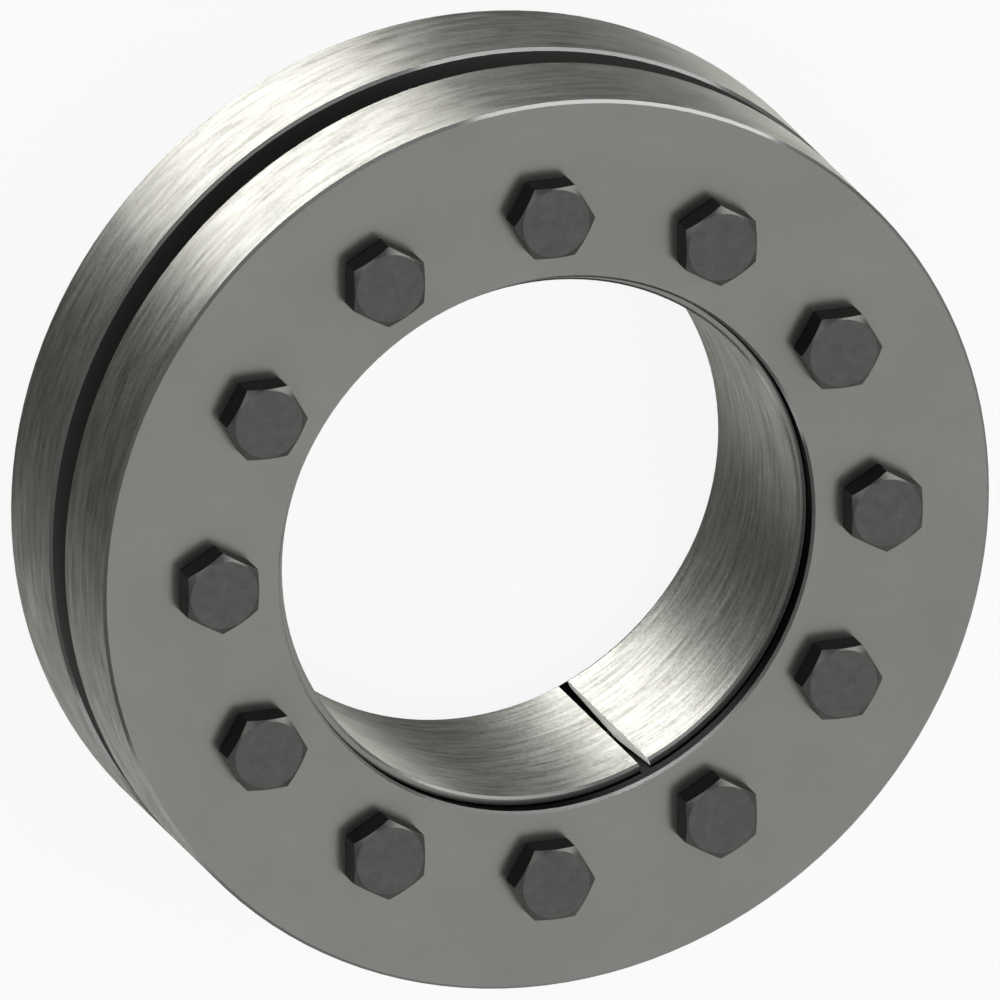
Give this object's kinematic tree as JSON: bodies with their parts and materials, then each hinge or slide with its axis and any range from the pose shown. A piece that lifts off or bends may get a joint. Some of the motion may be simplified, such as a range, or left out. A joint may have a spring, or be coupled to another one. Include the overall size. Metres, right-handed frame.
{
  "type": "keyless locking assembly",
  "caption": "External shrink disc: two thrust collars drawn together by a circle of hex head screws over a slit double-taper inner ring.",
  "frame": {"origin": "centre of the back collar's back face, on the bore axis", "axes": "+Z along the bore towards the screw heads, +Y through the first screw"},
  "size_m": [0.215, 0.215, 0.07],
  "materials": {
    "collar_steel": "turned, lightly oiled",
    "ring_steel": "fine turned",
    "screw_steel": "black oxide"
  },
  "bodies": {
    "back_collar": {"back_collar": "collar_steel"},
    "front_collar": {"front_collar": "collar_steel"},
    "inner_ring": {"inner_ring": "ring_steel"},
    "locking_screw_01": {"locking_screw_01": "screw_steel"},
    "locking_screw_02": {"locking_screw_02": "screw_steel"},
    "locking_screw_03": {"locking_screw_03": "screw_steel"},
    "locking_screw_04": {"locking_screw_04": "screw_steel"},
    "locking_screw_05": {"locking_screw_05": "screw_steel"},
    "locking_screw_06": {"locking_screw_06": "screw_steel"},
    "locking_screw_07": {"locking_screw_07": "screw_steel"},
    "locking_screw_08": {"locking_screw_08": "screw_steel"},
    "locking_screw_09": {"locking_screw_09": "screw_steel"},
    "locking_screw_10": {"locking_screw_10": "screw_steel"},
    "locking_screw_11": {"locking_screw_11": "screw_steel"},
    "locking_screw_12": {"locking_screw_12": "screw_steel"}
  },
  "joints": [
    {"name": "front_collar_slide", "type": "slide", "parent": "back_collar", "child": "front_collar", "axis": [0, 0, -1], "range_m": [0, 0.004]},
    {"name": "inner_ring_slide", "type": "slide", "parent": "back_collar", "child": "inner_ring", "axis": [0, 0, -1], "range_m": [0, 0.002]},
    {"name": "locking_screw_01_turn", "type": "hinge", "parent": "front_collar", "child": "locking_screw_01", "pos_m": [0, 0.0805, 0.0636], "axis": [0, 0, -1], "range_deg": [0, 960.01]},
    {"name": "locking_screw_02_turn", "type": "hinge", "parent": "front_collar", "child": "locking_screw_02", "pos_m": [0.04025, 0.06971, 0.0636], "axis": [0, 0, -1], "range_deg": [0, 960.01]},
    {"name": "locking_screw_03_turn", "type": "hinge", "parent": "front_collar", "child": "locking_screw_03", "pos_m": [0.06971, 0.04025, 0.0636], "axis": [0, 0, -1], "range_deg": [0, 960.01]},
    {"name": "locking_screw_04_turn", "type": "hinge", "parent": "front_collar", "child": "locking_screw_04", "pos_m": [0.0805, 0, 0.0636], "axis": [0, 0, -1], "range_deg": [0, 960.01]},
    {"name": "locking_screw_05_turn", "type": "hinge", "parent": "front_collar", "child": "locking_screw_05", "pos_m": [0.06971, -0.04025, 0.0636], "axis": [0, 0, -1], "range_deg": [0, 960.01]},
    {"name": "locking_screw_06_turn", "type": "hinge", "parent": "front_collar", "child": "locking_screw_06", "pos_m": [0.04025, -0.06971, 0.0636], "axis": [0, 0, -1], "range_deg": [0, 960.01]},
    {"name": "locking_screw_07_turn", "type": "hinge", "parent": "front_collar", "child": "locking_screw_07", "pos_m": [0, -0.0805, 0.0636], "axis": [0, 0, -1], "range_deg": [0, 960.01]},
    {"name": "locking_screw_08_turn", "type": "hinge", "parent": "front_collar", "child": "locking_screw_08", "pos_m": [-0.04025, -0.06971, 0.0636], "axis": [0, 0, -1], "range_deg": [0, 960.01]},
    {"name": "locking_screw_09_turn", "type": "hinge", "parent": "front_collar", "child": "locking_screw_09", "pos_m": [-0.06971, -0.04025, 0.0636], "axis": [0, 0, -1], "range_deg": [0, 960.01]},
    {"name": "locking_screw_10_turn", "type": "hinge", "parent": "front_collar", "child": "locking_screw_10", "pos_m": [-0.0805, 0, 0.0636], "axis": [0, 0, -1], "range_deg": [0, 960.01]},
    {"name": "locking_screw_11_turn", "type": "hinge", "parent": "front_collar", "child": "locking_screw_11", "pos_m": [-0.06971, 0.04025, 0.0636], "axis": [0, 0, -1], "range_deg": [0, 960.01]},
    {"name": "locking_screw_12_turn", "type": "hinge", "parent": "front_collar", "child": "locking_screw_12", "pos_m": [-0.04025, 0.06971, 0.0636], "axis": [0, 0, -1], "range_deg": [0, 960.01]}
  ],
  "couplings": [
    {"joint": "inner_ring_slide", "follows": "front_collar_slide", "ratio": 0.5},
    {"joint": "locking_screw_01_turn", "follows": "front_collar_slide", "rad_per_m": 4188.8},
    {"joint": "locking_screw_02_turn", "follows": "front_collar_slide", "rad_per_m": 4188.8},
    {"joint": "locking_screw_03_turn", "follows": "front_collar_slide", "rad_per_m": 4188.8},
    {"joint": "locking_screw_04_turn", "follows": "front_collar_slide", "rad_per_m": 4188.8},
    {"joint": "locking_screw_05_turn", "follows": "front_collar_slide", "rad_per_m": 4188.8},
    {"joint": "locking_screw_06_turn", "follows": "front_collar_slide", "rad_per_m": 4188.8},
    {"joint": "locking_screw_07_turn", "follows": "front_collar_slide", "rad_per_m": 4188.8},
    {"joint": "locking_screw_08_turn", "follows": "front_collar_slide", "rad_per_m": 4188.8},
    {"joint": "locking_screw_09_turn", "follows": "front_collar_slide", "rad_per_m": 4188.8},
    {"joint": "locking_screw_10_turn", "follows": "front_collar_slide", "rad_per_m": 4188.8},
    {"joint": "locking_screw_11_turn", "follows": "front_collar_slide", "rad_per_m": 4188.8},
    {"joint": "locking_screw_12_turn", "follows": "front_collar_slide", "rad_per_m": 4188.8}
  ]
}
